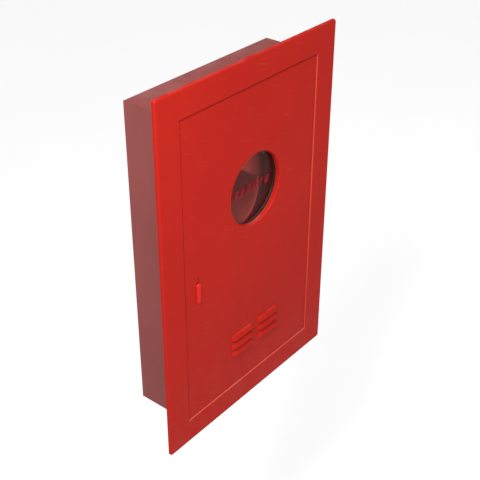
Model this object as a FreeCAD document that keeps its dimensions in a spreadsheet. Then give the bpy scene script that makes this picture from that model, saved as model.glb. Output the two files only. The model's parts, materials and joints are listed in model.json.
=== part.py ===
import FreeCAD, Part
import math
import os
import Sketcher

# Recessed standpipe (fire hose) cabinet: a sheet-steel box that goes into a wall niche, a wide flange
# frame over the niche's edge, a flush door with a round window and air louvres, a sliding latch and
# a half-moon hose cradle.
# Frame: +Z up, +Y into the wall, X to the right from the room. The origin is the centre of the box's
# rear face, which is also the centre of its four wall anchors.

doc = FreeCAD.newDocument("standpipe_cabinet")

DIMENSIONS = {
    # flange frame, against the wall's surface
    "frame_wide": 600, "frame_tall": 900, "lip_deep": 8, "corner_round": 7, "fold_round": 5,
    "steel": 1.5, "opening_wide": 468, "opening_tall": 774, "opening_round": 1.2,
    # box in the niche
    "total_deep": 150, "rear_flange": 15, "back_sheet": 1.2, "rivet_radius": 1.6, "rivet_head": 3.2,
    "rivet_head_tall": 1, "rivet_inset": 9, "anchor_wide": 380, "anchor_tall": 680, "anchor_radius": 4.5,
    "pipe_radius": 31, "pipe_wall": 4, "pipe_low": -255, "pipe_behind": 84,
    "grommet_lip": 3, "grommet_lip_thick": 2, "grommet_bite": 1,
    # door
    "door_gap": 2.5, "door_sunk": 3, "door_deep": 18, "door_sheet": 1.2, "door_lip": 12, "door_round": 2.5,
    "brace_low": -110, "brace_wide": 40, "brace_deep": 9, "brace_foot": 12, "brace_end": 20,
    # round window
    "window_across": 15, "window_up": 131, "window_radius": 88, "rim_deep": 12, "rim_round": 3,
    "glass_thick": 4, "glass_radius": 93, "gasket_wall": 1.5, "gasket_radius": 96, "gasket_inner": 88.6,
    "ring_thick": 1.2, "ring_inner": 89.5, "ring_outer": 98, "clip_wide": 14, "clip_reach": 118,
    "clip_thick": 1.5, "clip_gap": 2, "clip_overlap": 5, "stud_inset": 6, "stud_radius": 2, "stud_tall": 7.5,
    "stud_nut_reach": 3.6, "stud_nut_tall": 3.2,
    # louvres
    "louvre_wide": 84, "louvre_tall": 15, "louvre_out": 8, "louvre_step": 24, "louvre_apart": 99,
    "louvre_low": -295.5, "louvre_across": 16.5, "louvre_rows": 3,
    # pivots
    "pivot_inset": 14, "pivot_behind": 7.5, "pin_radius": 3, "pin_head": 5.5, "pin_head_tall": 2.5,
    "pin_long": 18,
    "bush_wall": 1.6, "bush_play": 0.05, "bush_flange": 7, "washer_top": 1, "washer_bottom": 2.2,
    "pivot_plate": 2.5, "pivot_plate_wide": 44,
    # sliding latch
    "latch_across": -189, "grip_wide": 12, "grip_tall": 50, "grip_thick": 5, "grip_low": -68.5,
    "slot_wide": 9, "slot_low": -61, "slot_tall": 61, "latch_play": 0.3, "latch_travel": 9,
    "slide_thick": 2, "slide_wide": 41, "slide_margin": 5, "slide_tall": 84, "slide_low": -82,
    "guide_low": -86, "guide_tall": 100,
    "hook_thick": 3, "hook_across": -212, "hook_tall": 16, "hook_shank": 7, "hook_low": -38,
    "hook_behind": 31, "hook_tip": 3.5, "hook_strap": 4, "hook_foot": 12, "hook_head": 8,
    "keeper_thick": 2, "keeper_behind": 23.5, "keeper_wide": 30, "keeper_tall": 46, "keeper_low": -54,
    "keeper_slot_wide": 11, "keeper_slot_tall": 19, "keeper_slot_low": -39.5, "keeper_leg": 14,
    "guide_foot": 5, "guide_toe": 2.5, "guide_thick": 1.2, "screw_high": -28, "screw_low": -52,
    "screw_radius": 1.6, "screw_head": 3, "screw_head_tall": 1.8,
    # door stops, rubber buffers and magnetic catch
    # (depths named "behind" are measured from the frame's front face)
    "stop_behind": 23.5, "stop_wide": 14, "stop_deep": 12, "stop_sheet": 1.2, "stop_end": 10,
    "stop_clear": 20, "baffle_behind": 32, "stop_gap_low": -100, "stop_gap_high": 50, "buffer_radius": 4.5,
    "buffer_tall": 2.2, "catch_low": 6, "catch_tall": 38, "catch_wide": 20, "catch_behind": 24,
    "catch_deep": 15, "catch_round": 1.5, "mouth_side": 4, "mouth_end": 9, "mouth_deep": 8, "pole_wide": 3,
    "pole_out": 1.7, "armature_thick": 1, "armature_inset": 1.5, "armature_wide": 15.5, "armature_end": 4,
    "catch_screw_inset": 4.5,
    # half-moon hose cradle
    "cradle_across": 0, "cradle_radius": 86, "cradle_up": 97, "cradle_behind": 56, "cradle_arm": 20,
    "cradle_sheet": 1.5,
    "bead_radius": 2.5, "cradle_plate": 2, "plate_round": 94, "rail_wide": 44, "rail_deep": 12,
    "rail_foot": 16, "rail_tall": 150, "rail_low": 20, "bolt_radius": 3, "bolt_head": 5,
    "bolt_head_tall": 3.5, "bolt_high": 150, "bolt_low": 45, "bolt_long": 9.5, "nut_bore_long": 9,
    "washer_radius": 6.5, "washer_thick": 1,
}

table = doc.addObject("Spreadsheet::Sheet", "dims")
for row, (name, value) in enumerate(DIMENSIONS.items(), start=1):
    table.set("A%d" % row, name)
    table.set("B%d" % row, str(value))
    table.setAlias("B%d" % row, name)
doc.recompute()


class Size:
    """A length that knows its number and the sheet expression it comes from."""

    def __init__(self, value, text):
        self.value = float(value)
        self.text = text

    def __add__(self, other):
        other = size(other)
        return Size(self.value + other.value, "(%s + %s)" % (self.text, other.text))

    def __sub__(self, other):
        other = size(other)
        return Size(self.value - other.value, "(%s - %s)" % (self.text, other.text))

    def __mul__(self, factor):
        return Size(self.value * factor, "(%s * %s)" % (self.text, factor))

    def __truediv__(self, factor):
        return Size(self.value / factor, "(%s / %s)" % (self.text, factor))

    def __neg__(self):
        return self * -1


def size(value):
    """A plain number as a Size; a Size stays as it is."""
    if isinstance(value, Size):
        return value
    return Size(value, "(%s)" % value)


class Sheet:
    """The sheet's cells by name."""

    def __getattr__(self, name):
        return Size(DIMENSIONS[name], "dims." + name)


d = Sheet()
ORIGIN = (0, 0, 0)

# ---------------------------------------------------------------- shared places
front = -d.total_deep
frame_back = front + d.steel
half_wide = d.opening_wide / 2
half_tall = d.opening_tall / 2
door_front = front + d.door_sunk
door_inner = door_front + d.door_sheet
door_back = door_front + d.door_deep
door_half_wide = half_wide - d.door_gap
door_half_tall = half_tall - d.door_gap
pivot_x = door_half_wide - d.pivot_inset
pivot_y = door_front + d.pivot_behind
slide_left = d.hook_across - d.hook_thick / 2 - d.slide_margin
rim_back = door_front + d.rim_deep
gasket_deep = d.glass_thick + d.gasket_wall * 2
ring_front = rim_back + gasket_deep
panel_front = -d.back_sheet
flange_front = panel_front - d.steel
rail_front = panel_front - d.rail_deep
plate_front = rail_front - d.cradle_plate
cradle_front = front + d.cradle_behind
stop_front = front + d.stop_behind
pipe_y = front + d.pipe_behind

finished = []


# ---------------------------------------------------------------- helpers
def finish(thing, label):
    thing.Label = label
    finished.append(thing)
    return thing


def bind(thing, name, length):
    length = size(length)
    setattr(thing, name, length.value)
    thing.setExpression(name, length.text)


def place(thing, spot, turn=None):
    """Puts an object at a place of three lengths, each bound to the sheet."""
    spot = [size(part) for part in spot]
    turned = FreeCAD.Rotation(*turn) if turn else FreeCAD.Rotation()
    thing.Placement = FreeCAD.Placement(FreeCAD.Vector(*[part.value for part in spot]), turned)
    for letter, part in zip("xyz", spot):
        thing.setExpression(".Placement.Base." + letter, part.text)


QUARTER = math.pi / 2
ALONG_Y = (FreeCAD.Vector(1, 0, 0), -90)
ALONG_X = (FreeCAD.Vector(0, 1, 0), 90)


def new_body(label):
    return finish(doc.addObject("PartDesign::Body", label), label)


def sketch_on(body, plane, offset=ORIGIN):
    """A sketch on one of the body's own origin planes, moved by an offset bound to the sheet."""
    sketch = body.newObject("Sketcher::SketchObject", body.Name + "_sketch")
    role = plane + "_Plane"
    origin = [item for item in body.Origin.OriginFeatures if item.Role == role][0]
    sketch.AttachmentSupport = [(origin, "")]
    sketch.MapMode = "FlatFace"
    offset = [size(part) for part in offset]
    base = FreeCAD.Vector(*[part.value for part in offset])
    sketch.AttachmentOffset = FreeCAD.Placement(base, FreeCAD.Rotation())
    for letter, part in zip("xyz", offset):
        sketch.setExpression(".AttachmentOffset.Base." + letter, part.text)
    return sketch


def facing(body, y, x=0, z=0):
    """A sketch seen from the front: its own x and y run along X and Z, at depth y."""
    return sketch_on(body, "XZ", (x, z, -size(y)))


def fix(sketch, kind, elements, length):
    length = size(length)
    index = sketch.addConstraint(Sketcher.Constraint(kind, *elements, length.value))
    sketch.setExpression("Constraints[%d]" % index, length.text)


def pin_point(sketch, geometry, spot, point):
    fix(sketch, "DistanceX", (-1, 1, geometry, spot), point[0])
    fix(sketch, "DistanceY", (-1, 1, geometry, spot), point[1])


def vector(point):
    return FreeCAD.Vector(size(point[0]).value, size(point[1]).value, 0)


def polygon(sketch, points):
    first = sketch.GeometryCount
    count = len(points)
    for step in range(count):
        line = Part.LineSegment(vector(points[step]), vector(points[(step + 1) % count]))
        sketch.addGeometry(line)
    for step in range(count):
        after = first + (step + 1) % count
        sketch.addConstraint(Sketcher.Constraint("Coincident", first + step, 2, after, 1))
        pin_point(sketch, first + step, 1, points[step])


def rectangle(sketch, left, low, right, high):
    polygon(sketch, [(left, low), (right, low), (right, high), (left, high)])


def centred(sketch, half_across, half_up):
    rectangle(sketch, -half_across, -half_up, half_across, half_up)


def rounded(sketch, half_across, half_up, radius):
    """A centred rectangle with round corners: an arc at each corner and a line to the next."""
    radius = size(radius)
    corners = ((1, 1), (-1, 1), (-1, -1), (1, -1))
    up = FreeCAD.Vector(0, 0, 1)
    for step, (across, along) in enumerate(corners):
        centre = ((half_across - radius) * across, (half_up - radius) * along)
        start = step * QUARTER
        sketch.addGeometry(Part.ArcOfCircle(
            Part.Circle(vector(centre), up, radius.value), start, start + QUARTER))
    for step, (across, along) in enumerate(corners):
        after = (step + 1) % 4
        sketch.addGeometry(Part.LineSegment(
            sketch.Geometry[step].EndPoint, sketch.Geometry[after].StartPoint))
    for step, (across, along) in enumerate(corners):
        centre = ((half_across - radius) * across, (half_up - radius) * along)
        starts = ((half_across, centre[1]), (centre[0], half_up),
                  (-half_across, centre[1]), (centre[0], -half_up))
        sketch.addConstraint(Sketcher.Constraint("Coincident", step, 2, 4 + step, 1))
        sketch.addConstraint(Sketcher.Constraint("Coincident", 4 + step, 2, (step + 1) % 4, 1))
        pin_point(sketch, step, 3, centre)
        pin_point(sketch, step, 1, starts[step])
        kind = "DistanceX" if step % 2 == 0 else "DistanceY"
        fix(sketch, kind, (-1, 1, step, 2), centre[step % 2])


def circle(sketch, centre, radius):
    radius = size(radius)
    up = FreeCAD.Vector(0, 0, 1)
    index = sketch.addGeometry(Part.Circle(vector(centre), up, radius.value))
    pin_point(sketch, index, 3, centre)
    fix(sketch, "Radius", (index,), radius)


def settle(feature):
    """Recomputes, and stops at the first feature that fails."""
    doc.recompute()
    failed = "Invalid" in feature.State or "Error" in feature.State
    if failed or feature.Shape.isNull() or not feature.Shape.isValid():
        raise RuntimeError("%s failed: %s" % (feature.Name, feature.State))
    return feature


def pad(body, sketch, length, backwards=False):
    feature = body.newObject("PartDesign::Pad", body.Name + "_pad")
    feature.Profile = sketch
    feature.Reversed = backwards
    bind(feature, "Length", length)
    return settle(feature)


def pocket(body, sketch, length, backwards=False):
    feature = body.newObject("PartDesign::Pocket", body.Name + "_pocket")
    feature.Profile = sketch
    feature.Reversed = backwards
    bind(feature, "Length", length)
    volume = body.Shape.Volume
    settle(feature)
    if not body.Shape.Volume < volume - 1e-3:
        raise RuntimeError("a pocket of %s cuts nothing" % body.Label)
    return feature


def turn_round(body, sketch):
    feature = body.newObject("PartDesign::Revolution", body.Name + "_turn")
    feature.Profile = sketch
    feature.ReferenceAxis = (sketch, ["V_Axis"])
    feature.Angle = 360
    return settle(feature)


def round_edges(body, radius, wanted):
    """Rounds the edges of the body's last feature for which wanted(edge) is true."""
    tip = body.Tip
    names = ["Edge%d" % (at + 1) for at, edge in enumerate(tip.Shape.Edges) if wanted(edge)]
    feature = body.newObject("PartDesign::Fillet", body.Name + "_round")
    feature.Base = (tip, names)
    bind(feature, "Radius", radius)
    return settle(feature)


def near(first, second):
    return abs(first - size(second).value) < 1e-4


def runs_along(edge, axis):
    box = edge.BoundBox
    spans = {"X": box.XLength, "Y": box.YLength, "Z": box.ZLength}
    return spans[axis] > 1e-4 and all(spans[other] < 1e-4 for other in spans if other != axis)


def lies_at(edge, y):
    return near(edge.BoundBox.YMin, y) and near(edge.BoundBox.YMax, y)


def ring_turned(label, x, z, profile):
    """A ring or disc turned about an axis along Y; the profile is (radius, y) points."""
    body = new_body(label)
    sketch = sketch_on(body, "XY", (x, 0, z))
    polygon(sketch, profile)
    turn_round(body, sketch)
    return body


def pin_turned(label, x, y, profile):
    """A pin or bush turned about an axis along Z; the profile is (radius, z) points."""
    body = new_body(label)
    sketch = facing(body, y, x)
    polygon(sketch, profile)
    turn_round(body, sketch)
    return body


def folded(label, section, low, tall):
    """A folded strip: a section of (x, y) points drawn out upwards from low."""
    body = new_body(label)
    sketch = sketch_on(body, "XY", (0, 0, low))
    polygon(sketch, section)
    pad(body, sketch, tall)
    return body


def cylinder(spot, radius, length, turn=None):
    thing = doc.addObject("Part::Cylinder", "rod")
    bind(thing, "Radius", radius)
    bind(thing, "Height", length)
    place(thing, spot, turn)
    return thing


def hexagon(spot, reach, tall):
    """Six-sided bolt head or nut standing along Y, its corners at the given reach."""
    thing = doc.addObject("Part::Prism", "hexagon")
    thing.Polygon = 6
    bind(thing, "Circumradius", reach)
    bind(thing, "Height", tall)
    place(thing, spot, ALONG_Y)
    return thing


def block(spot, wide, deep, tall):
    thing = doc.addObject("Part::Box", "block")
    bind(thing, "Length", wide)
    bind(thing, "Width", deep)
    bind(thing, "Height", tall)
    place(thing, spot)
    return thing


def joined(things):
    thing = doc.addObject("Part::MultiFuse", "joined")
    thing.Shapes = things
    return thing


def without(base, tool):
    thing = doc.addObject("Part::Cut", "cut")
    thing.Base = base
    thing.Tool = tool
    return thing


def shared(base, tool):
    thing = doc.addObject("Part::Common", "common")
    thing.Base = base
    thing.Tool = tool
    return thing


def group(label, things):
    """Several identical small pieces kept as one named group of separate solids."""
    thing = doc.addObject("Part::Compound", label)
    thing.Links = things
    return finish(thing, label)


# ---------------------------------------------------------------- cabinet: frame and box
def flange_frame():
    """Ring of sheet with its outer edge folded back to the wall as a lip."""
    body = new_body("flange_frame")
    outer = facing(body, front)
    rounded(outer, d.frame_wide / 2, d.frame_tall / 2, d.corner_round)
    pad(body, outer, d.lip_deep, True)
    round_edges(body, d.fold_round, lambda edge: lies_at(edge, front))
    hollow = facing(body, frame_back)
    rounded(hollow, d.frame_wide / 2 - d.steel, d.frame_tall / 2 - d.steel, d.corner_round - d.steel)
    pocket(body, hollow, d.lip_deep, False)
    round_edges(body, d.fold_round - d.steel, lambda edge: lies_at(edge, frame_back))
    opening = facing(body, front)
    centred(opening, half_wide, half_tall)
    pocket(body, opening, d.steel, False)
    round_edges(body, d.opening_round, lambda edge: lies_at(edge, front)
                and abs(edge.CenterOfMass.x) < half_wide.value + 1
                and abs(edge.CenterOfMass.z) < half_tall.value + 1)


def rivet_places():
    """Where the back panel is riveted: (x, z) along the four edges of the rear flange."""
    side = half_wide - d.rivet_inset
    end = half_tall - d.rivet_inset
    places = [(side * across, end * up) for across in (-0.9, 0, 0.9) for up in (-1, 1)]
    places += [(side * across, end * up) for across in (-1, 1) for up in (-0.75, -0.25, 0.25, 0.75)]
    return places


def cabinet_wrapper():
    """Four walls of the box, welded to the frame, with a flange turned in at the back."""
    body = new_body("cabinet_wrapper")
    wall_wide = half_wide + d.steel
    wall_tall = half_tall + d.steel
    walls = facing(body, frame_back)
    centred(walls, wall_wide, wall_tall)
    centred(walls, half_wide, half_tall)
    pad(body, walls, panel_front - frame_back, True)
    rear = facing(body, flange_front)
    centred(rear, wall_wide, wall_tall)
    centred(rear, half_wide - d.rear_flange, half_tall - d.rear_flange)
    pad(body, rear, d.steel, True)
    rivets = facing(body, flange_front)
    for place_xz in rivet_places():
        circle(rivets, place_xz, d.rivet_radius)
    pocket(body, rivets, d.steel, False)
    pins = sketch_on(body, "XY", (0, 0, -wall_tall))
    circle(pins, (pivot_x, pivot_y), d.pin_radius)
    pocket(body, pins, wall_tall * 2, True)
    pipe = sketch_on(body, "YZ", (0, 0, half_wide - 1))
    circle(pipe, (pipe_y, d.pipe_low), d.pipe_radius + d.pipe_wall - d.grommet_bite)
    pocket(body, pipe, d.steel + 2, True)


def back_panel():
    body = new_body("back_panel")
    outer = facing(body, panel_front)
    centred(outer, half_wide + d.steel, half_tall + d.steel)
    pad(body, outer, d.back_sheet, True)
    holes = facing(body, panel_front)
    for place_xz in rivet_places():
        circle(holes, place_xz, d.rivet_radius)
    for across in (-0.5, 0.5):
        for up in (-0.5, 0.5):
            circle(holes, (d.anchor_wide * across, d.anchor_tall * up), d.anchor_radius)
    pocket(body, holes, d.back_sheet, False)


def back_panel_rivets():
    """Pop rivets with their heads inside the box and their tails flush with its back."""
    rivets = []
    for x, z in rivet_places():
        shank = cylinder((x, flange_front, z), d.rivet_radius, d.back_sheet + d.steel, ALONG_Y)
        head = cylinder((x, flange_front - d.rivet_head_tall, z), d.rivet_head, d.rivet_head_tall, ALONG_Y)
        rivets.append(joined([shank, head]))
    group("back_panel_rivets", rivets)


def pipe_grommet():
    """Rubber grommet that lines the hole in the side wall where the branch pipe comes in."""
    body = new_body("pipe_grommet")
    sketch = sketch_on(body, "XY", (0, pipe_y, d.pipe_low))
    neck = d.pipe_radius + d.pipe_wall - d.grommet_bite
    lip = d.pipe_radius + d.pipe_wall + d.grommet_lip
    outside = half_wide + d.steel
    inner_end = half_wide - d.grommet_lip_thick
    outer_end = outside + d.grommet_lip_thick
    polygon(sketch, [
        (inner_end, d.pipe_radius), (inner_end, lip), (half_wide, lip), (half_wide, neck),
        (outside, neck), (outside, lip), (outer_end, lip), (outer_end, d.pipe_radius)])
    feature = body.newObject("PartDesign::Revolution", "pipe_grommet_turn")
    feature.Profile = sketch
    feature.ReferenceAxis = (sketch, ["H_Axis"])
    feature.Angle = 360
    settle(feature)


# ---------------------------------------------------------------- cabinet: stops and catch
def angle_stop(label, wall, inward, low, tall, face):
    """Angle strip on a side wall: one leg across the door's edge, one leg back along the wall."""
    sheet = d.stop_sheet * inward
    folded(label, [
        (wall, face), (wall + d.stop_wide * inward, face),
        (wall + d.stop_wide * inward, face + d.stop_sheet), (wall + sheet, face + d.stop_sheet),
        (wall + sheet, face + d.stop_deep), (wall, face + d.stop_deep)], low, tall)


def level_stop(label, up):
    """Angle strip across the top or the bottom of the opening."""
    body = new_body(label)
    start = half_wide - d.stop_wide - d.stop_end
    sketch = sketch_on(body, "YZ", (0, 0, -start))
    wall = half_tall * up
    sheet = d.stop_sheet * -up
    face = stop_front
    polygon(sketch, [
        (face, wall), (face, wall - d.stop_wide * up),
        (face + d.stop_sheet, wall - d.stop_wide * up), (face + d.stop_sheet, wall + sheet),
        (face + d.stop_deep, wall + sheet), (face + d.stop_deep, wall)])
    pad(body, sketch, start + pivot_x - d.stop_clear)


def door_stops():
    level_stop("door_stop_top", 1)
    level_stop("door_stop_bottom", -1)
    end = half_tall - d.stop_end
    angle_stop("door_stop_latch_side_upper", -half_wide, 1, d.stop_gap_high,
               end - d.stop_gap_high, stop_front)
    angle_stop("door_stop_latch_side_lower", -half_wide, 1, -end,
               end + d.stop_gap_low, stop_front)
    angle_stop("hinge_side_baffle", half_wide, -1, -end, end * 2, front + d.baffle_behind)


def rubber_buffers():
    """Four soft buttons on the stops that the closed door rests against."""
    face = stop_front - d.buffer_tall
    side = -half_wide + d.stop_wide / 2 + 1
    end = half_tall - d.stop_wide / 2 - 1
    spots = [(side, half_tall * 0.6), (side, half_tall * -0.6), (half_wide * 0.3, end),
             (half_wide * 0.3, -end)]
    group("rubber_buffers", [
        cylinder((x, face, z), d.buffer_radius, d.buffer_tall, ALONG_Y) for x, z in spots])


def latch_keeper():
    """Angle plate on the latch-side wall with an upright slot that the hook goes through."""
    body = new_body("latch_keeper")
    face = front + d.keeper_behind
    wall = -half_wide
    sketch = sketch_on(body, "XY", (0, 0, d.keeper_low))
    polygon(sketch, [
        (wall, face), (wall + d.keeper_wide, face), (wall + d.keeper_wide, face + d.keeper_thick),
        (wall + d.keeper_thick, face + d.keeper_thick),
        (wall + d.keeper_thick, face + d.keeper_leg), (wall, face + d.keeper_leg)])
    pad(body, sketch, d.keeper_tall)
    slot = facing(body, face)
    middle = d.hook_across
    rectangle(slot, middle - d.keeper_slot_wide / 2, d.keeper_slot_low,
              middle + d.keeper_slot_wide / 2, d.keeper_slot_low + d.keeper_slot_tall)
    pocket(body, slot, d.keeper_thick, False)


def magnetic_catch():
    """Plastic housing screwed to the wall with a magnet and its two pole plates in its mouth."""
    wall = -half_wide
    face = front + d.catch_behind
    body = new_body("catch_housing")
    outer = facing(body, face)
    rectangle(outer, wall, d.catch_low, wall + d.catch_wide, d.catch_low + d.catch_tall)
    pad(body, outer, d.catch_deep, True)
    round_edges(body, d.catch_round, lambda edge: runs_along(edge, "Y")
                and near(edge.CenterOfMass.x, wall + d.catch_wide))
    low = d.catch_low + d.mouth_end
    high = d.catch_low + d.catch_tall - d.mouth_end
    left = wall + d.mouth_side
    right = wall + d.catch_wide - d.mouth_side
    mouth = facing(body, face)
    rectangle(mouth, left, low, right, high)
    pocket(body, mouth, d.mouth_deep, False)
    magnet = new_body("catch_magnet")
    poles = facing(magnet, face - d.pole_out)
    rectangle(poles, left, low, left + d.pole_wide, high)
    rectangle(poles, right - d.pole_wide, low, right, high)
    magnet.AllowCompound = True
    pad(magnet, poles, d.pole_out + d.mouth_deep, True)
    core = facing(magnet, face)
    rectangle(core, left + d.pole_wide, low, right - d.pole_wide, high)
    pad(magnet, core, d.mouth_deep, True)
    heads = []
    for up in (d.catch_screw_inset, d.catch_tall - d.catch_screw_inset):
        spot = (wall + d.catch_wide, face + d.catch_deep / 2, d.catch_low + up)
        heads.append(cylinder(spot, d.screw_head, d.screw_head_tall, ALONG_X))
    group("catch_screws", heads)


# ---------------------------------------------------------------- cabinet: hose cradle
def cradle_rail():
    """Hat channel on the back panel that carries the cradle."""
    across = d.cradle_across
    half = d.rail_wide / 2
    foot = half + d.rail_foot
    sheet = d.steel
    folded("cradle_rail", [
        (across - foot, panel_front - sheet), (across - half, panel_front - sheet),
        (across - half, rail_front), (across + half, rail_front),
        (across + half, panel_front - sheet), (across + foot, panel_front - sheet),
        (across + foot, panel_front), (across + half - sheet, panel_front),
        (across + half - sheet, rail_front + sheet), (across - half + sheet, rail_front + sheet),
        (across - half + sheet, panel_front), (across - foot, panel_front)],
        d.rail_low, d.rail_tall)
    body = finished[-1]
    holes = facing(body, rail_front)
    for up in (d.bolt_low, d.bolt_high):
        circle(holes, (across, up), d.bolt_radius)
    pocket(body, holes, sheet, False)


def half_moon(sketch, centre, radius, arm, thickness):
    """U outline: an arc below the centre and two upright arms, given a thickness outwards."""
    x, z = centre
    top = z + arm
    lines = []
    for reach in (radius, radius + thickness):
        left = (x - reach).value
        right = (x + reach).value
        low = Part.ArcOfCircle(Part.Circle(FreeCAD.Vector(x.value, z.value, 0),
                               FreeCAD.Vector(0, 0, 1), reach.value), 2 * QUARTER, 4 * QUARTER)
        arc = sketch.addGeometry(low)
        first = sketch.addGeometry(Part.LineSegment(
            FreeCAD.Vector(left, z.value, 0), FreeCAD.Vector(left, top.value, 0)))
        last = sketch.addGeometry(Part.LineSegment(
            FreeCAD.Vector(right, z.value, 0), FreeCAD.Vector(right, top.value, 0)))
        sketch.addConstraint(Sketcher.Constraint("Coincident", arc, 1, first, 1))
        sketch.addConstraint(Sketcher.Constraint("Coincident", arc, 2, last, 1))
        pin_point(sketch, arc, 3, centre)
        pin_point(sketch, first, 2, (x - reach, top))
        pin_point(sketch, last, 2, (x + reach, top))
        pin_point(sketch, arc, 1, (x - reach, z))
        lines.append((first, last))
    for side in (0, 1):
        inner = lines[0][side]
        outer = lines[1][side]
        cap = sketch.addGeometry(Part.LineSegment(
            sketch.Geometry[inner].EndPoint, sketch.Geometry[outer].EndPoint))
        sketch.addConstraint(Sketcher.Constraint("Coincident", inner, 2, cap, 1))
        sketch.addConstraint(Sketcher.Constraint("Coincident", outer, 2, cap, 2))


def cradle():
    """Half-moon trough for the folded hose, its front edge rolled to a bead, on a round back plate."""
    centre = (d.cradle_across, d.cradle_up)
    trough = new_body("cradle_trough")
    section = facing(trough, cradle_front)
    half_moon(section, centre, d.cradle_radius, d.cradle_arm, d.cradle_sheet)
    pad(trough, section, plate_front - cradle_front, True)
    bead = facing(trough, cradle_front - d.bead_radius)
    half_moon(bead, centre, d.cradle_radius - 1, d.cradle_arm, d.bead_radius * 2)
    pad(trough, bead, d.bead_radius * 2, True)
    round_edges(trough, d.bead_radius - 0.3, lambda edge: (
        lies_at(edge, cradle_front - d.bead_radius) and edge.Length > d.cradle_arm.value - 1))
    plate = new_body("cradle_back_plate")
    disc = facing(plate, plate_front)
    circle(disc, centre, d.plate_round)
    pad(plate, disc, d.cradle_plate, True)
    holes = facing(plate, plate_front)
    for up in (d.bolt_low, d.bolt_high):
        circle(holes, (d.cradle_across, up), d.bolt_radius)
    pocket(plate, holes, d.cradle_plate, False)
    bolts = []
    nuts = []
    for up in (d.bolt_low, d.bolt_high):
        seat = plate_front - d.washer_thick
        shank = cylinder((d.cradle_across, plate_front, up), d.bolt_radius, d.bolt_long, ALONG_Y)
        washer = cylinder((d.cradle_across, seat, up), d.washer_radius, d.washer_thick, ALONG_Y)
        head = hexagon((d.cradle_across, seat - d.bolt_head_tall, up), d.bolt_head, d.bolt_head_tall)
        bolts.append(joined([shank, washer, head]))
        nut = hexagon((d.cradle_across, rail_front + d.steel, up), d.bolt_head, d.bolt_head_tall)
        bore = cylinder((d.cradle_across, rail_front, up), d.bolt_radius, d.nut_bore_long, ALONG_Y)
        nuts.append(without(nut, bore))
    group("cradle_bolts", bolts)
    group("cradle_nuts", nuts)


# ---------------------------------------------------------------- pivots
def pivots():
    """Pins through the top and bottom walls, nylon bushes and stiffening plates in the door."""
    bore = d.pin_radius + d.bush_play
    body_radius = bore + d.bush_wall
    for up, name, washer in ((1, "top", d.washer_top), (-1, "bottom", d.washer_bottom)):
        wall = (half_tall + d.steel) * up
        edge = door_half_tall * up
        pin_turned("hinge_pin_" + name, pivot_x, pivot_y, [
            (0, wall + d.pin_head_tall * up), (d.pin_head, wall + d.pin_head_tall * up),
            (d.pin_head, wall), (d.pin_radius, wall), (d.pin_radius, wall - d.pin_long * up),
            (0, wall - d.pin_long * up)])
        inner = edge - (d.door_sheet + d.pivot_plate) * up
        pin_turned("hinge_bush_" + name, pivot_x, pivot_y, [
            (bore, edge + washer * up), (d.bush_flange, edge + washer * up),
            (d.bush_flange, edge), (body_radius, edge), (body_radius, inner - up), (bore, inner - up)])
        plate = new_body("hinge_plate_" + name)
        low = edge - d.door_sheet * up - d.pivot_plate * (1 if up > 0 else 0)
        sketch = sketch_on(plate, "XY", (0, 0, low))
        right = door_half_wide - d.door_sheet
        rectangle(sketch, right - d.pivot_plate_wide, door_inner, right, door_back - d.door_sheet)
        circle(sketch, (pivot_x, pivot_y), body_radius)
        pad(plate, sketch, d.pivot_plate)


# ---------------------------------------------------------------- door
def door_pan():
    """Folded door pan with returns and lips, the drawn window rim and the latch slot."""
    body = doc.addObject("PartDesign::Body", "door_pan")
    outer = facing(body, door_front)
    centred(outer, door_half_wide, door_half_tall)
    pad(body, outer, d.door_deep, True)
    round_edges(body, d.door_round, lambda edge: lies_at(edge, door_front))
    mouth = facing(body, door_back)
    centred(mouth, door_half_wide - d.door_lip, door_half_tall - d.door_lip)
    pocket(body, mouth, d.door_sheet, True)
    hollow = facing(body, door_back - d.door_sheet)
    centred(hollow, door_half_wide - d.door_sheet, door_half_tall - d.door_sheet)
    pocket(body, hollow, d.door_deep - d.door_sheet * 2, True)
    bend = d.window_radius + d.rim_round
    cut = facing(body, door_front)
    circle(cut, (d.window_across, d.window_up), bend)
    pocket(body, cut, d.door_sheet, False)
    slot = facing(body, door_front)
    half = d.slot_wide / 2
    rectangle(slot, d.latch_across - half, d.slot_low, d.latch_across + half, d.slot_low + d.slot_tall)
    pocket(body, slot, d.door_sheet, False)
    round_edges(body, half - 0.1, lambda edge: runs_along(edge, "Y")
                and near(abs(edge.CenterOfMass.x - d.latch_across.value), half)
                and near(edge.BoundBox.YLength, d.door_sheet))
    bores = sketch_on(body, "XY", (0, 0, -door_half_tall))
    circle(bores, (pivot_x, pivot_y), d.pin_radius + d.bush_play + d.bush_wall)
    pocket(body, bores, door_half_tall * 2, True)
    return body


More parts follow.
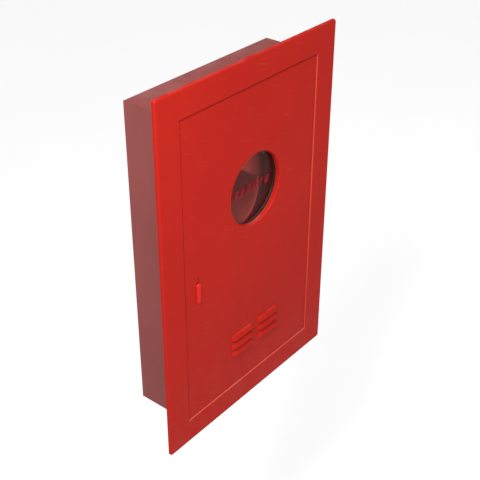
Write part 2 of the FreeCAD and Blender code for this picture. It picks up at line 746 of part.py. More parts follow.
def window_rim():
    """Drawn rim: the sheet rolls in round the window and runs back as a short tube."""
    body = doc.addObject("PartDesign::Body", "window_rim")
    sketch = sketch_on(body, "XY", (d.window_across, 0, d.window_up))
    bend = d.window_radius + d.rim_round
    outside = d.window_radius + d.door_sheet
    roll = door_front + d.rim_round
    turn = FreeCAD.Vector(bend.value, roll.value, 0)
    upward = FreeCAD.Vector(0, 0, 1)
    front_arc = Part.ArcOfCircle(
        Part.Circle(turn, upward, d.rim_round.value), 2 * QUARTER, 3 * QUARTER)
    back_arc = Part.ArcOfCircle(
        Part.Circle(turn, upward, (d.rim_round - d.door_sheet).value), 2 * QUARTER, 3 * QUARTER)
    sketch.addGeometry(front_arc)
    sketch.addGeometry(back_arc)
    for arc, reach in ((0, d.window_radius), (1, outside)):
        pin_point(sketch, arc, 3, (bend, roll))
        pin_point(sketch, arc, 1, (reach, roll))
    fix(sketch, "DistanceX", (-1, 1, 0, 2), bend)
    fix(sketch, "DistanceX", (-1, 1, 1, 2), bend)
    ends = [sketch.Geometry[arc] for arc in (0, 1)]
    low_front = FreeCAD.Vector(d.window_radius.value, rim_back.value, 0)
    low_back = FreeCAD.Vector(outside.value, rim_back.value, 0)
    sketch.addGeometry(Part.LineSegment(ends[0].StartPoint, low_front))
    sketch.addGeometry(Part.LineSegment(low_front, low_back))
    sketch.addGeometry(Part.LineSegment(low_back, ends[1].StartPoint))
    sketch.addGeometry(Part.LineSegment(ends[1].EndPoint, ends[0].EndPoint))
    for first, spot, second, other in ((0, 1, 2, 1), (2, 2, 3, 1), (3, 2, 4, 1), (4, 2, 1, 1),
                                       (1, 2, 5, 1), (5, 2, 0, 2)):
        sketch.addConstraint(Sketcher.Constraint("Coincident", first, spot, second, other))
    pin_point(sketch, 3, 1, (d.window_radius, rim_back))
    pin_point(sketch, 3, 2, (outside, rim_back))
    turn_round(body, sketch)
    return body


def louvre_skin(x, z, shrink):
    """Long hood with domed ends: a rod and two balls of one radius, kept where it stands out."""
    depth = (d.louvre_tall.value ** 2 - d.louvre_out.value ** 2) / (2 * d.louvre_out.value)
    radius = depth + d.louvre_out.value - shrink
    straight = d.louvre_wide - d.louvre_tall * 2
    axis_y = door_front + depth
    rod = cylinder((x - straight / 2, axis_y, z), radius, straight, ALONG_X)
    balls = []
    for side in (-0.5, 0.5):
        ball = doc.addObject("Part::Sphere", "ball")
        bind(ball, "Radius", radius)
        place(ball, (x + straight * side, axis_y, z))
        balls.append(ball)
    inside = size(0) if shrink == 0 else d.door_sheet
    keep = block((x - d.louvre_wide / 2, door_front - d.louvre_out, z), d.louvre_wide,
                 d.louvre_out + inside, d.louvre_tall)
    return shared(joined([rod] + balls), keep)


def door_panel():
    """The pan with its drawn rim and two stacks of louvres that open downwards."""
    hoods = []
    hollows = []
    for side in (-0.5, 0.5):
        for step in range(DIMENSIONS["louvre_rows"]):
            x = d.louvre_across + d.louvre_apart * side
            z = d.louvre_low + d.louvre_step * step
            hoods.append(louvre_skin(x, z, 0))
            hollows.append(louvre_skin(x, z, d.door_sheet.value))
    solid = joined([door_pan(), window_rim()] + hoods)
    finish(without(solid, joined(hollows)), "door_panel")


def door_brace():
    """Hat channel across the inside of the door under the latch."""
    body = new_body("door_brace")
    sheet = d.door_sheet
    low = d.brace_low - d.brace_wide
    high = d.brace_low
    top = door_inner + d.brace_deep
    foot = d.brace_foot
    sketch = sketch_on(body, "YZ", (0, 0, -door_half_wide + d.brace_end))
    polygon(sketch, [
        (door_inner, low - foot), (door_inner + sheet, low - foot), (door_inner + sheet, low - sheet),
        (top, low - sheet), (top, high + sheet), (door_inner + sheet, high + sheet),
        (door_inner + sheet, high + foot), (door_inner, high + foot), (door_inner, high),
        (top - sheet, high), (top - sheet, low), (door_inner, low)])
    pad(body, sketch, (door_half_wide - d.brace_end) * 2)


def window():
    """Glass disc in a rubber channel, held against the drawn rim by a ring and four clips."""
    across = d.window_across
    up = d.window_up
    glass_front = rim_back + d.gasket_wall
    ring_turned("window_glass", across, up, [
        (0, glass_front), (d.glass_radius, glass_front),
        (d.glass_radius, glass_front + d.glass_thick), (0, glass_front + d.glass_thick)])
    ring_turned("window_gasket", across, up, [
        (d.gasket_inner, rim_back), (d.gasket_radius, rim_back), (d.gasket_radius, ring_front),
        (d.gasket_inner, ring_front), (d.gasket_inner, ring_front - d.gasket_wall),
        (d.glass_radius, ring_front - d.gasket_wall), (d.glass_radius, glass_front),
        (d.gasket_inner, glass_front)])
    ring_turned("window_retaining_ring", across, up, [
        (d.ring_inner, ring_front), (d.ring_outer, ring_front),
        (d.ring_outer, ring_front + d.ring_thick), (d.ring_inner, ring_front + d.ring_thick)])
    clip_top = ring_front + d.ring_thick
    clips = []
    studs = []
    nuts = []
    for x_side, z_side in ((1, 0), (-1, 0), (0, 1), (0, -1)):
        clips.append(window_clip(x_side, z_side, clip_top))
        middle = d.clip_reach - d.stud_inset
        spot = (across + middle * x_side, door_inner, up + middle * z_side)
        studs.append(cylinder(spot, d.stud_radius, d.stud_tall, ALONG_Y))
        seat = (spot[0], door_inner + d.clip_thick, spot[2])
        nut = hexagon(seat, d.stud_nut_reach, d.stud_nut_tall)
        nuts.append(without(nut, cylinder(spot, d.stud_radius, d.stud_tall, ALONG_Y)))
    group("window_clips", clips)
    group("window_studs", studs)
    group("window_nuts", nuts)


def window_clip(x_side, z_side, top):
    """Z clip: a foot on the door, an upright web and a toe over the retaining ring."""
    outer = d.clip_reach
    web = d.ring_outer + d.clip_gap
    toe = d.ring_outer - d.clip_overlap
    thick = d.clip_thick
    spans = ((web, outer, door_inner, door_inner + thick), (web, web + thick, door_inner, top + thick),
             (toe, web + thick, top, top + thick))
    parts = []
    for near_end, far_end, low, high in spans:
        long = far_end - near_end
        start = near_end if x_side + z_side > 0 else -far_end
        if x_side:
            spot = (d.window_across + start, low, d.window_up - d.clip_wide / 2)
            parts.append(block(spot, long, high - low, d.clip_wide))
        else:
            spot = (d.window_across - d.clip_wide / 2, low, d.window_up + start)
            parts.append(block(spot, d.clip_wide, high - low, long))
    middle = outer - d.stud_inset
    hole = cylinder((d.window_across + middle * x_side, door_inner, d.window_up + middle * z_side),
                    d.stud_radius, d.stud_tall, ALONG_Y)
    return without(joined(parts), hole)


def latch_guides():
    """Two Z strips on the inside of the door that the slide plate runs between."""
    play = d.latch_play
    top = door_inner + d.slide_thick + play * 2
    middle = slide_left + d.slide_wide / 2
    for name, side in (("left", -1), ("right", 1)):
        wall = middle + (d.slide_wide / 2 + play) * side
        folded("latch_guide_" + name, [
            (wall, door_inner), (wall + d.guide_foot * side, door_inner),
            (wall + d.guide_foot * side, top + d.guide_thick),
            (wall - d.guide_toe * side, top + d.guide_thick), (wall - d.guide_toe * side, top),
            (wall, top)], d.guide_low, d.guide_tall)


def armature():
    """Steel plate on the door's lip that the magnet holds."""
    body = new_body("catch_armature")
    sketch = facing(body, door_back)
    left = -door_half_wide + d.armature_inset
    rectangle(sketch, left, d.catch_low + d.armature_end, left + d.armature_wide,
              d.catch_low + d.catch_tall - d.armature_end)
    pad(body, sketch, d.armature_thick, True)


# ---------------------------------------------------------------- sliding latch
def latch():
    """Grip outside, slide plate inside and a hook that lifts behind the keeper."""
    play = d.latch_play
    grip = new_body("latch_grip")
    back_face = door_front - play
    high = d.grip_low + d.grip_tall
    face = facing(grip, back_face)
    rectangle(face, d.latch_across - d.grip_wide / 2, d.grip_low,
              d.latch_across + d.grip_wide / 2, high)
    pad(grip, face, d.grip_thick)
    round_edges(grip, d.grip_wide / 2 - 0.2, lambda edge: runs_along(edge, "Y"))
    round_edges(grip, d.grip_thick * 0.6, lambda edge: lies_at(edge, back_face - d.grip_thick))
    neck = facing(grip, back_face)
    half = d.slot_wide / 2 - play
    low = d.slot_low + 0.5
    rectangle(neck, d.latch_across - half, low, d.latch_across + half, high - 2)
    pad(grip, neck, d.door_sheet + play * 2, True)
    round_edges(grip, half - 0.1, lambda edge: runs_along(edge, "Y")
                and near(abs(edge.CenterOfMass.x - d.latch_across.value), half)
                and edge.CenterOfMass.y > back_face.value)

    plate_y = door_inner + play
    plate = new_body("latch_slide_plate")
    outline = facing(plate, plate_y)
    rectangle(outline, slide_left, d.slide_low, slide_left + d.slide_wide,
              d.slide_low + d.slide_tall)
    for up in (d.screw_low, d.screw_high):
        circle(outline, (d.latch_across, up), d.screw_radius)
    pad(plate, outline, d.slide_thick, True)

    hook = new_body("latch_hook")
    start = plate_y + d.slide_thick
    lower = d.hook_low
    upper = d.hook_low + d.hook_tall
    shank = d.hook_low + d.hook_shank
    end = front + d.hook_behind
    strap = d.hook_strap
    profile = sketch_on(hook, "YZ", (0, 0, d.hook_across - d.hook_thick / 2))
    polygon(profile, [
        (start, lower - d.hook_foot), (start + strap, lower - d.hook_foot),
        (start + strap * 2, lower), (end, lower), (end, upper), (end - d.hook_tip, upper),
        (end - d.hook_tip, shank), (start + strap, shank), (start + strap, upper + d.hook_head),
        (start, upper + d.hook_head)])
    pad(hook, profile, d.hook_thick)

    screws = []
    for up in (d.screw_low, d.screw_high):
        shank_rod = cylinder((d.latch_across, plate_y, up), d.screw_radius, d.slide_thick, ALONG_Y)
        head = cylinder((d.latch_across, start, up), d.screw_head, d.screw_head_tall, ALONG_Y)
        screws.append(joined([shank_rod, head]))
    group("latch_screws", screws)


# ---------------------------------------------------------------- build, check, write
def check_and_write():
    doc.recompute()
    for thing in doc.Objects:
        if "Invalid" in thing.State or "Error" in thing.State:
            raise RuntimeError("%s failed: %s" % (thing.Name, thing.State))
    os.makedirs("parts", exist_ok=True)
    for thing in finished:
        shape = thing.Shape
        if shape.isNull() or not shape.isValid():
            raise RuntimeError("%s has no valid shape" % thing.Label)
        shape.exportStep("parts/%s.step" % thing.Label)
        print(thing.Label, len(shape.Solids), "solid(s)", round(shape.Volume), "mm3")


flange_frame()
cabinet_wrapper()
back_panel()
back_panel_rivets()
pipe_grommet()
door_stops()
rubber_buffers()
latch_keeper()
magnetic_catch()
cradle_rail()
cradle()
pivots()
door_panel()
door_brace()
window()
latch_guides()
armature()
latch()
check_and_write()
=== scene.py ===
"""Looks for the recessed standpipe cabinet: paint, zinc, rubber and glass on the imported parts, and the
two pieces that only show: the weld bead behind the flange and the mark on the window."""
import json
import math

import bpy
import numpy as np
from mathutils import Matrix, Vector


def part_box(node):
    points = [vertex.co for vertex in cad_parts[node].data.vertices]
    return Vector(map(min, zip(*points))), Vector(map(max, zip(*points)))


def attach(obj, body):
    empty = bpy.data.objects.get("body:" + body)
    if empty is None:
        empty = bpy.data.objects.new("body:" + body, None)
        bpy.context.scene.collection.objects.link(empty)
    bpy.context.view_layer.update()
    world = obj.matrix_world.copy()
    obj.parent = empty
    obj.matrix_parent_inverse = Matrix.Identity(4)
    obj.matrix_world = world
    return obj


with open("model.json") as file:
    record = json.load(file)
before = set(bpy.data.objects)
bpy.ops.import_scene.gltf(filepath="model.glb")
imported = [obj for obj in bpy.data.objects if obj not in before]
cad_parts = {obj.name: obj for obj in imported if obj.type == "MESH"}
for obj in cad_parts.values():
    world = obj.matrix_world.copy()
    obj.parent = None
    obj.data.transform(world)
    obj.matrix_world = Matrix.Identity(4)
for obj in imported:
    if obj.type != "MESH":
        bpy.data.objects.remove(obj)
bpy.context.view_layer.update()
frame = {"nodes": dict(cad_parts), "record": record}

MM = 0.001
# how far inside the box's outer faces a point still counts as outside
SKIN = 0.4 * MM


# ---------------------------------------------------------------- places read from the frame
def corners(node):
    """The lowest and highest corner of a part's box."""
    low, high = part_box(node)
    return np.array(low), np.array(high)


FLANGE_LOW = corners("flange_frame")[0]
BOX_HIGH = corners("cabinet_wrapper")[1]
GLASS_LOW, GLASS_HIGH = corners("window_glass")
GLASS_CENTRE = (GLASS_LOW + GLASS_HIGH) / 2
FRONT = FLANGE_LOW[1]


# ---------------------------------------------------------------- surfaces from grids
def grid_piece(name, points, close_rows=False, close_columns=False):
    """A mesh from a grid of points (rows, columns, 3): each cell is one quad between four neighbours,
    and the last row or column meets the first where the surface is closed."""
    rows, columns = points.shape[:2]
    index = np.arange(rows * columns).reshape(rows, columns)
    if close_rows:
        index = np.vstack([index, index[:1]])
    if close_columns:
        index = np.hstack([index, index[:, :1]])
    quads = np.stack([index[:-1, :-1], index[1:, :-1], index[1:, 1:], index[:-1, 1:]], axis=-1)
    mesh = bpy.data.meshes.new(name)
    mesh.from_pydata(points.reshape(-1, 3), [], quads.reshape(-1, 4))
    mesh.polygons.foreach_set("use_smooth", np.ones(len(mesh.polygons), bool))
    mesh.validate()
    thing = bpy.data.objects.new(name, mesh)
    bpy.context.collection.objects.link(thing)
    return thing


def joined(name, parts):
    """One piece from several: their meshes are merged into the first."""
    bpy.ops.object.select_all(action="DESELECT")
    for part in parts:
        part.select_set(True)
    bpy.context.view_layer.objects.active = parts[0]
    if len(parts) > 1:
        bpy.ops.object.join()
    parts[0].name = name
    parts[0].data.name = name
    return parts[0]


def bead(name, corners_xz, y, radius, ripple):
    """A weld bead outside a rectangle: a round profile carried along its four sides, its centre one
    radius further out, and its own radius swelling by ripple times the sine of the distance run."""
    pitch, wave, facets = 1 * MM, 4 * MM, 9
    corners_xz = np.array(corners_xz, dtype=float)
    following = np.roll(corners_xz, -1, axis=0)
    runs = []
    for start, end in zip(corners_xz, following):
        count = int(np.linalg.norm(end - start) / pitch)
        share = np.linspace(0, 1, count, endpoint=False)[:, None]
        runs.append(start + (end - start) * share)
    path = np.concatenate(runs)
    step = np.linalg.norm(np.roll(path, -1, axis=0) - path, axis=1)
    run = np.concatenate([[0], np.cumsum(step)[:-1]])
    middle = corners_xz.mean(axis=0)
    out = np.sign(path - middle) * (np.abs(path - middle) >= np.abs(corners_xz - middle).max(axis=0) - 1e-6)
    out = out / np.maximum(np.linalg.norm(out, axis=1, keepdims=True), 1e-9)
    swell = radius * (1 + ripple * np.sin(run * 2 * math.pi / wave))
    angle = np.linspace(0, math.pi * 2, facets, endpoint=False)
    reach = swell[:, None] * np.cos(angle)
    rise = swell[:, None] * np.sin(angle)
    x = path[:, 0:1] + out[:, 0:1] * (reach + radius)
    z = path[:, 1:2] + out[:, 1:2] * (reach + radius)
    points = np.stack([x, y + rise, z], axis=-1)
    return grid_piece(name, points, close_rows=True, close_columns=True)


# ---------------------------------------------------------------- node helpers
class Board:
    """A short way to add nodes to a tree and link them. A socket is named by its label, or by the
    letter i and its number where a node has several sockets with one label."""

    def __init__(self, tree):
        self.tree = tree

    def add(self, kind, settings=None, **inputs):
        """A new node, its settings set and its inputs fed."""
        node = self.tree.nodes.new(kind)
        for name, value in (settings or {}).items():
            setattr(node, name, value)
        for name, value in inputs.items():
            self.feed(node, name.replace("_", " "), value)
        return node

    def feed(self, node, name, value):
        """Links an output to an input, or sets the input's own value."""
        socket = node.inputs[int(name[1:])] if name[0] == "i" and name[1:].isdigit() else node.inputs[name]
        if isinstance(value, bpy.types.NodeSocket):
            self.tree.links.new(value, socket)
        else:
            socket.default_value = value

    def number(self, operation, first, second=0.0, third=None, clamp=False):
        """The result of one operation on up to three numbers."""
        node = self.add("ShaderNodeMath", {"operation": operation, "use_clamp": clamp})
        self.feed(node, "i0", first)
        self.feed(node, "i1", second)
        if third is not None:
            self.feed(node, "i2", third)
        return node.outputs[0]

    def between(self, value, low, high, to_low=0.0, to_high=1.0):
        """A value's place between low and high, carried over to another range and held inside it."""
        node = self.add("ShaderNodeMapRange", {"clamp": True})
        self.feed(node, "Value", value)
        self.feed(node, "From Min", low)
        self.feed(node, "From Max", high)
        self.feed(node, "To Min", to_low)
        self.feed(node, "To Max", to_high)
        return node.outputs["Result"]

    def mix(self, share, first, second):
        """The first colour with a share of the second."""
        node = self.add("ShaderNodeMix", {"data_type": "RGBA", "blend_type": "MIX"})
        self.feed(node, "i0", share)
        self.feed(node, "i6", first)
        self.feed(node, "i7", second)
        return node.outputs[2]


def new_group(name, inputs, outputs):
    """An empty shader node group with number inputs and number or colour outputs."""
    tree = bpy.data.node_groups.new(name, "ShaderNodeTree")
    for label, value in inputs.items():
        socket = tree.interface.new_socket(name=label, in_out="INPUT", socket_type="NodeSocketFloat")
        socket.default_value = value
    for label in outputs:
        tree.interface.new_socket(name=label, in_out="OUTPUT", socket_type="NodeSocketFloat")
    board = Board(tree)
    return tree, board, board.add("NodeGroupInput").outputs, board.add("NodeGroupOutput")


def orange_peel_group():
    """Sprayed or powder-coated film: a fine dimple over a slow waviness, and a slow tone drift."""
    tree, board, given, result = new_group(
        "orange_peel", {"Dimples": 900.0, "Waves": 60.0, "Drift": 4.0}, ("Height", "Tone"))
    spot = board.add("ShaderNodeTexCoord").outputs["Object"]
    fine = board.add("ShaderNodeTexNoise", Vector=spot, Scale=given["Dimples"], Detail=2.0, Roughness=0.5)
    wave = board.add("ShaderNodeTexNoise", Vector=spot, Scale=given["Waves"], Detail=1.0, Roughness=0.4)
    drift = board.add("ShaderNodeTexNoise", Vector=spot, Scale=given["Drift"], Detail=3.0, Roughness=0.55)
    height = board.number("MULTIPLY_ADD", wave.outputs["Fac"], 1.6, fine.outputs["Fac"])
    board.feed(result, "Height", height)
    board.feed(result, "Tone", board.between(drift.outputs["Fac"], 0.3, 0.7))
    return tree


def scratches_group():
    """Fine hairlines: noise stretched along one direction and kept only at its crests."""
    tree, board, given, result = new_group("hairlines", {"Length": 14.0, "Count": 700.0}, ("Mask",))
    spot = board.add("ShaderNodeTexCoord").outputs["Object"]
    split = board.add("ShaderNodeSeparateXYZ", Vector=spot)
    tilted = board.number("MULTIPLY_ADD", split.outputs["X"], 0.3, split.outputs["Z"])
    across = board.number("MULTIPLY_ADD", split.outputs["Z"], -0.3, split.outputs["X"])
    stretched = board.add("ShaderNodeCombineXYZ")
    board.feed(stretched, "X", board.number("MULTIPLY", across, given["Length"]))
    board.feed(stretched, "Y", board.number("MULTIPLY", split.outputs["Y"], given["Count"]))
    board.feed(stretched, "Z", board.number("MULTIPLY", tilted, given["Count"]))
    noise = board.add("ShaderNodeTexNoise", Vector=stretched.outputs[0], Scale=1.0, Detail=2.0)
    board.feed(result, "Mask", board.between(noise.outputs["Fac"], 0.66, 0.78))
    return tree


def dust_group():
    """Settled dust: more on faces that look up and towards the lower edge, broken up by noise."""
    tree, board, given, result = new_group("settled_dust", {"Low": -0.45, "Reach": 0.25}, ("Mask",))
    spot = board.add("ShaderNodeTexCoord").outputs["Object"]
    height = board.add("ShaderNodeSeparateXYZ", Vector=spot).outputs["Z"]
    normal = board.add("ShaderNodeNewGeometry").outputs["Normal"]
    up = board.add("ShaderNodeSeparateXYZ", Vector=normal).outputs["Z"]
    above = board.number("SUBTRACT", height, given["Low"])
    share = board.number("DIVIDE", above, given["Reach"])
    low_down = board.between(share, 0.0, 1.0, 0.22, 0.0)
    flat = board.between(up, 0.6, 1.0, 0.0, 0.8)
    noise = board.add("ShaderNodeTexNoise", Vector=spot, Scale=22.0, Detail=5.0, Roughness=0.65)
    broken = board.between(noise.outputs["Fac"], 0.4, 0.7)
    total = board.number("ADD", low_down, flat, clamp=True)
    board.feed(result, "Mask", board.number("MULTIPLY", total, broken))
    return tree


PEEL = orange_peel_group()
HAIRLINES = scratches_group()
DUST = dust_group()


def use(board, tree, **values):
    """Places a node group in a material with its own values."""
    node = board.add("ShaderNodeGroup", {"node_tree": tree})
    for name, value in values.items():
        board.feed(node, name, value)
    return node.outputs


def colour(red, green, blue):
    return (red, green, blue, 1.0)


def new_material(name):
    """A new material with its node board and its shader."""
    material = bpy.data.materials.new(name)
    material.use_nodes = True
    board = Board(material.node_tree)
    shader = material.node_tree.nodes["Principled BSDF"]
    return material, board, shader


def bump(board, shader, height, distance):
    """Raises the surface by a height pattern, at most by the given distance."""
    node = board.add("ShaderNodeBump", Height=height, Distance=distance, Strength=1.0)
    board.feed(shader, "Normal", node.outputs["Normal"])


# ---------------------------------------------------------------- materials
def paint(name, deep, bright, rough, peel=0.00012, dust=0.35):
    """Baked enamel: two close tones drifting into each other, orange peel, hairlines and dust."""
    material, board, shader = new_material(name)
    film = use(board, PEEL, Dimples=520.0, Waves=38.0, Drift=3.5)
    lines = use(board, HAIRLINES)
    settled = use(board, DUST)
    tone = board.mix(film["Tone"], colour(*deep), colour(*bright))
    worn = board.mix(board.number("MULTIPLY", lines["Mask"], 0.12), tone, colour(0.7, 0.32, 0.26))
    dusty = board.mix(board.number("MULTIPLY", settled["Mask"], dust * 0.3), worn, colour(0.5, 0.4, 0.36))
    board.feed(shader, "Base Color", dusty)
    gloss = board.between(film["Tone"], 0.0, 1.0, rough, rough + 0.06)
    scuffed = board.number("MULTIPLY_ADD", settled["Mask"], dust * 0.4, gloss)
    board.feed(shader, "Roughness", scuffed)
    shader.inputs["Specular IOR Level"].default_value = 0.01
    shader.inputs["Coat Weight"].default_value = 0.06
    shader.inputs["Coat Roughness"].default_value = 0.07
    bump(board, shader, film["Height"], peel)
    return material


def box_paint():
    """The box: enamel on the faces inside, lighter than the door's red as painted light for the lamp light
    that the inside lacks, and on the faces that go into the niche a thin dull coat whose pinkish grey is a
    painted reflection of the pale room on red paint, mottled and streaked where it was sprayed thin."""
    material, board, shader = new_material("box_lightened_enamel_and_reflection_tinted_coat")
    film = use(board, PEEL, Dimples=420.0, Waves=30.0, Drift=5.0)
    lines = use(board, HAIRLINES)
    settled = use(board, DUST)
    spot = board.add("ShaderNodeTexCoord").outputs["Object"]
    split = board.add("ShaderNodeSeparateXYZ", Vector=spot)
    side, end = float(BOX_HIGH[0] - SKIN), float(BOX_HIGH[2] - SKIN)
    past_side = board.number("GREATER_THAN", board.number("ABSOLUTE", split.outputs["X"]), side)
    past_end = board.number("GREATER_THAN", board.number("ABSOLUTE", split.outputs["Z"]), end)
    past_back = board.number("GREATER_THAN", split.outputs["Y"], -SKIN)
    outside = board.number("MAXIMUM", board.number("MAXIMUM", past_side, past_end), past_back)
    # enamel for the inside, lighter than the door's red: painted light for the lamp light that does not
    # reach inside the box
    enamel = board.mix(film["Tone"], colour(0.46, 0.055, 0.04), colour(0.52, 0.065, 0.047))
    # outside coat: its pinkish grey, here and in the thin streaks below, is a painted reflection of the
    # pale room on the red paint
    mottled = board.mix(film["Tone"], colour(0.182, 0.047, 0.044), colour(0.212, 0.057, 0.053))
    streaks = board.add("ShaderNodeTexNoise", Vector=spot, Scale=90.0, Detail=4.0, Roughness=0.7)
    thin = board.between(streaks.outputs["Fac"], 0.5, 0.75, 0.0, 0.3)
    undercoat_and_painted_reflection = board.mix(thin, mottled, colour(0.165, 0.062, 0.061))
    coat = board.mix(outside, enamel, undercoat_and_painted_reflection)
    worn = board.mix(board.number("MULTIPLY", lines["Mask"], 0.12), coat, colour(0.5, 0.3, 0.28))
    dusty = board.mix(board.number("MULTIPLY", settled["Mask"], 0.12), worn, colour(0.4, 0.3, 0.28))
    board.feed(shader, "Base Color", dusty)
    board.feed(shader, "Roughness", board.between(outside, 0.0, 1.0, 0.42, 0.6))
    shader.inputs["Specular IOR Level"].default_value = 0.06
    bump(board, shader, film["Height"], 0.00018)
    return material


def zinc():
    """Bright zinc plating: a metal with faint crystal patches, hairlines and dulled spots."""
    material, board, shader = new_material("bright_zinc")
    spot = board.add("ShaderNodeTexCoord").outputs["Object"]
    patches = board.add("ShaderNodeTexVoronoi", Vector=spot, Scale=260.0)
    film = use(board, PEEL, Dimples=1500.0, Waves=160.0, Drift=30.0)
    lines = use(board, HAIRLINES, Length=40.0, Count=1600.0)
    shade = board.between(patches.outputs["Distance"], 0.0, 0.9)
    base = board.mix(shade, colour(0.62, 0.63, 0.65), colour(0.5, 0.51, 0.54))
    worn = board.mix(board.number("MULTIPLY", lines["Mask"], 0.4), base, colour(0.78, 0.78, 0.78))
    tinted = board.mix(board.number("MULTIPLY", film["Tone"], 0.3), worn, colour(0.62, 0.58, 0.46))
    board.feed(shader, "Base Color", tinted)
    shader.inputs["Metallic"].default_value = 1.0
    board.feed(shader, "Roughness", board.between(film["Tone"], 0.0, 1.0, 0.28, 0.46))
    bump(board, shader, film["Height"], 0.00005)
    return material


def rubber():
    """Black rubber: a matt skin with a moulding grain and a bloom of grey."""
    material, board, shader = new_material("black_rubber")
    film = use(board, PEEL, Dimples=1400.0, Waves=220.0, Drift=40.0)
    base = board.mix(film["Tone"], colour(0.014, 0.008, 0.008), colour(0.032, 0.022, 0.021))
    board.feed(shader, "Base Color", base)
    board.feed(shader, "Roughness", board.between(film["Tone"], 0.0, 1.0, 0.55, 0.75))
    shader.inputs["Specular IOR Level"].default_value = 0.15
    bump(board, shader, film["Height"], 0.00008)
    return material


def moulded_plastic(name, dark, light, rough):
    """Moulded plastic: spark-eroded grain and a slight flow of tone."""
    material, board, shader = new_material(name)
    film = use(board, PEEL, Dimples=1800.0, Waves=120.0, Drift=25.0)
    board.feed(shader, "Base Color", board.mix(film["Tone"], colour(*dark), colour(*light)))
    board.feed(shader, "Roughness", board.between(film["Tone"], 0.0, 1.0, rough, rough + 0.15))
    bump(board, shader, film["Height"], 0.00005)
    return material


def magnet_steel():
    """Dark ferrite and ground pole plates: grey with grinding lines."""
    material, board, shader = new_material("ground_magnet_steel")
    lines = use(board, HAIRLINES, Length=60.0, Count=2200.0)
    film = use(board, PEEL, Dimples=1200.0, Waves=200.0, Drift=60.0)
    base = board.mix(film["Tone"], colour(0.16, 0.16, 0.17), colour(0.26, 0.26, 0.27))
    board.feed(shader, "Base Color", board.mix(lines["Mask"], base, colour(0.5, 0.5, 0.5)))
    shader.inputs["Metallic"].default_value = 0.9
    board.feed(shader, "Roughness", board.between(film["Tone"], 0.0, 1.0, 0.35, 0.5))
    bump(board, shader, film["Height"], 0.00004)
    return material


def pane():
    """Clear glass with faint wipe marks and a little dust."""
    material, board, shader = new_material("window_pane")
    spot = board.add("ShaderNodeTexCoord").outputs["Object"]
    wipe = board.add("ShaderNodeTexNoise", Vector=spot, Scale=16.0, Detail=4.0, Roughness=0.7,
                     Distortion=1.2)
    smear = board.between(wipe.outputs["Fac"], 0.5, 0.75, 0.0, 0.05)
    board.feed(shader, "Base Color", board.mix(smear, colour(0.97, 0.97, 0.96), colour(0.86, 0.84, 0.82)))
    board.feed(shader, "Roughness", board.between(wipe.outputs["Fac"], 0.5, 0.75, 0.01, 0.06))
    # lamps shine through the pane into the box, so for their rays it is nearly clear
    shadow = board.add("ShaderNodeLightPath").outputs["Is Shadow Ray"]
    board.feed(shader, "Alpha", board.between(shadow, 0.0, 1.0, 1.0, 0.02))
    shader.inputs["Transmission Weight"].default_value = 1.0
    shader.inputs["IOR"].default_value = 1.1
    return material


def vinyl():
    """Red translucent film on the glass."""
    material, board, shader = new_material("red_film")
    film = use(board, PEEL, Dimples=800.0, Waves=90.0, Drift=60.0)
    tone = board.mix(film["Tone"], colour(0.2, 0.005, 0.012), colour(0.25, 0.008, 0.016))
    board.feed(shader, "Base Color", tone)
    board.feed(shader, "Roughness", board.between(film["Tone"], 0.0, 1.0, 0.35, 0.5))
    shader.inputs["Alpha"].default_value = 0.6
    shader.inputs["Specular IOR Level"].default_value = 0.02
    bump(board, shader, film["Height"], 0.00003)
    return material


MATERIALS = {
    "red_paint": paint("red_enamel", (0.285, 0.0088, 0.005), (0.312, 0.0106, 0.0064), 0.34),
    "red_box_paint": box_paint(),
    # cradle red darker than the door's, though the same paint: painted shade for the hollow of the trough
    # inside the box
    "cradle_paint": paint("cradle_enamel_with_painted_shade", (0.125, 0.011, 0.009), (0.15, 0.014, 0.011), 0.4, dust=0.2),
    # grip red lighter than the door's: a painted highlight for the grip's face catching the lamp light from
    # the upper left
    "red_grip": paint("grip_enamel_with_painted_highlight", (0.42, 0.012, 0.009), (0.46, 0.015, 0.011), 0.25, peel=0.00005),
    "zinc_steel": zinc(),
    "black_rubber": rubber(),
    "grey_plastic": moulded_plastic("grey_moulding", (0.2, 0.2, 0.21), (0.28, 0.28, 0.29), 0.45),
    "magnet_steel": magnet_steel(),
    "black_nylon": moulded_plastic("black_nylon", (0.025, 0.025, 0.026), (0.045, 0.045, 0.046), 0.35),
    "window_glass": pane(),
}
RED_FILM = vinyl()

slot_of = {part["node"]: part["material_slot"] for part in frame["record"]["subparts"]}
for node, thing in frame["nodes"].items():
    for slot in thing.material_slots:
        slot.material = MATERIALS[slot_of[node]]


def dress(piece, material, body):
    """Gives a new piece its material and the body it rides on."""
    piece.data.materials.clear()
    piece.data.materials.append(material)
    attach(piece, body)


# ---------------------------------------------------------------- pieces that only show
def weld_bead():
    """The weld between the frame's back and the box's outside, hidden from the room."""
    sheet, radius, clear, ripple = 1.5 * MM, 1.5 * MM, 0.1 * MM, 0.16
    y = FRONT + sheet + radius + clear
    side, end = BOX_HIGH[0], BOX_HIGH[2]
    corner_xz = [(-side, -end), (side, -end), (side, end), (-side, end)]
    piece = bead("box_weld_bead", corner_xz, y, radius, ripple)
    dress(piece, MATERIALS["red_box_paint"], "cabinet")


def window_mark():
    """Six slanted bars of red film across the glass: each bar is a flat grid, x = middle + across
    times its width + up times its slant, z = up times its height, given a thin wall."""
    parts = []
    count, wide, tall, slant, gap = 6, 12 * MM, 20 * MM, 6 * MM, 22 * MM
    film, clear = 0.1 * MM, 0.12 * MM
    face = GLASS_LOW[1] - clear
    for step in range(count):
        middle = GLASS_CENTRE[0] + (step - (count - 1) / 2) * gap
        across, up = np.meshgrid(np.linspace(-0.5, 0.5, 9), np.linspace(-0.5, 0.5, 13), indexing="xy")
        x = middle + across * wide + up * slant
        z = GLASS_CENTRE[2] + up * tall
        points = np.stack([x, np.full_like(x, face), z], axis=-1)
        parts.append(grid_piece("bar", points))
    piece = joined("window_mark", parts)
    wall = piece.modifiers.new("film", "SOLIDIFY")
    wall.thickness = film
    wall.offset = 0
    dress(piece, RED_FILM, "door")


weld_bead()
window_mark()


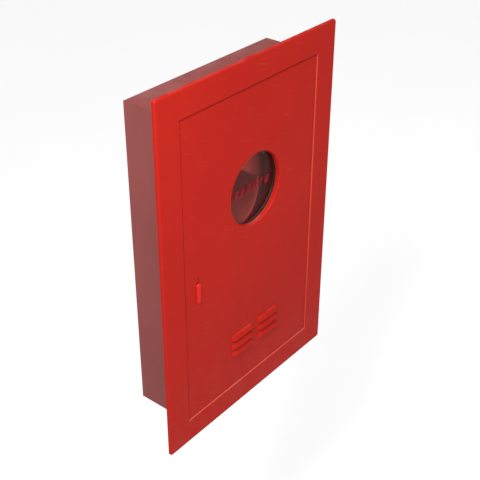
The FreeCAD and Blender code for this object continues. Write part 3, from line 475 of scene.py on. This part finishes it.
# ---------------------------------------------------------------- room, light and camera
def floor():
    """A wide pale floor, flat and level, well below the cabinet."""
    drop, reach, cells = 1.6, 40, 81
    x, y = np.meshgrid(np.linspace(-reach, reach, cells), np.linspace(-reach, reach, cells), indexing="ij")
    level = np.full_like(x, FLANGE_LOW[2] - drop)
    piece = grid_piece("studio_floor", np.stack([x, y, level], axis=-1))
    material, board, shader = new_material("pale_floor")
    spot = board.add("ShaderNodeTexCoord").outputs["Object"]
    noise = board.add("ShaderNodeTexNoise", Vector=spot, Scale=2.0, Detail=2.0)
    board.feed(shader, "Base Color", board.mix(noise.outputs["Fac"], colour(0.97, 0.97, 0.97),
                                              colour(0.99, 0.99, 0.99)))
    shader.inputs["Roughness"].default_value = 0.9
    piece.data.materials.append(material)


def look_at(thing, place, target, roll=0.0):
    """Puts a lamp or camera at a place, its -Z axis towards the target, turned by roll."""
    place, target = np.array(place, float), np.array(target, float)
    back = (place - target) / np.linalg.norm(place - target)
    right = np.cross((0, 0, 1), back)
    right /= np.linalg.norm(right)
    up = np.cross(back, right)
    tilted = math.cos(roll) * right + math.sin(roll) * up
    raised = -math.sin(roll) * right + math.cos(roll) * up
    matrix = np.eye(4)
    matrix[:3, 0], matrix[:3, 1], matrix[:3, 2], matrix[:3, 3] = tilted, raised, back, place
    thing.matrix_world = Matrix(matrix.tolist())


def lamp(name, place, target, size, power):
    """A round soft lamp at a place, facing the target."""
    data = bpy.data.lights.new(name, "AREA")
    data.shape = "DISK"
    data.size = size
    data.energy = power
    thing = bpy.data.objects.new(name, data)
    bpy.context.collection.objects.link(thing)
    look_at(thing, place, target)


def studio():
    """Pale surroundings, a main lamp from the upper left, a weak one in front and a broad soft sky."""
    world = bpy.data.worlds.new("studio")
    bpy.context.scene.world = world
    world.use_nodes = True
    world.node_tree.nodes["Background"].inputs["Color"].default_value = (1, 1, 1, 1)
    world.node_tree.nodes["Background"].inputs["Strength"].default_value = 0.41
    target = (0, FRONT, 0)
    lamp("key_light", (-1.75, -0.85, 1.9), target, 0.5, 68)
    lamp("front_light", (-0.75, -1.35, 0.85), target, 0.5, 15)
    data = bpy.data.lights.new("sky_light", "SUN")
    data.energy = 1.85
    data.angle = math.radians(50)
    thing = bpy.data.objects.new("sky_light", data)
    bpy.context.collection.objects.link(thing)
    look_at(thing, (-0.25, -0.33, 1.0), (0, 0, 0))
    bpy.context.scene.view_settings.view_transform = "Standard"


def camera():
    """Seen from the left and above: a long lens on the middle of the flange."""
    azimuth, elevation, roll = math.radians(-51.12), math.radians(31.93), math.radians(0.19)
    distance = 2.1265
    aim = np.array([-0.04633, FRONT, 0.02689])
    back = np.array([math.sin(azimuth) * math.cos(elevation), -math.cos(azimuth) * math.cos(elevation),
                     math.sin(elevation)])
    data = bpy.data.cameras.new("camera")
    data.sensor_width = 36
    data.lens = 70.69
    thing = bpy.data.objects.new("camera", data)
    bpy.context.collection.objects.link(thing)
    look_at(thing, aim + back * distance, aim, roll)
    bpy.context.scene.camera = thing


floor()
studio()
camera()
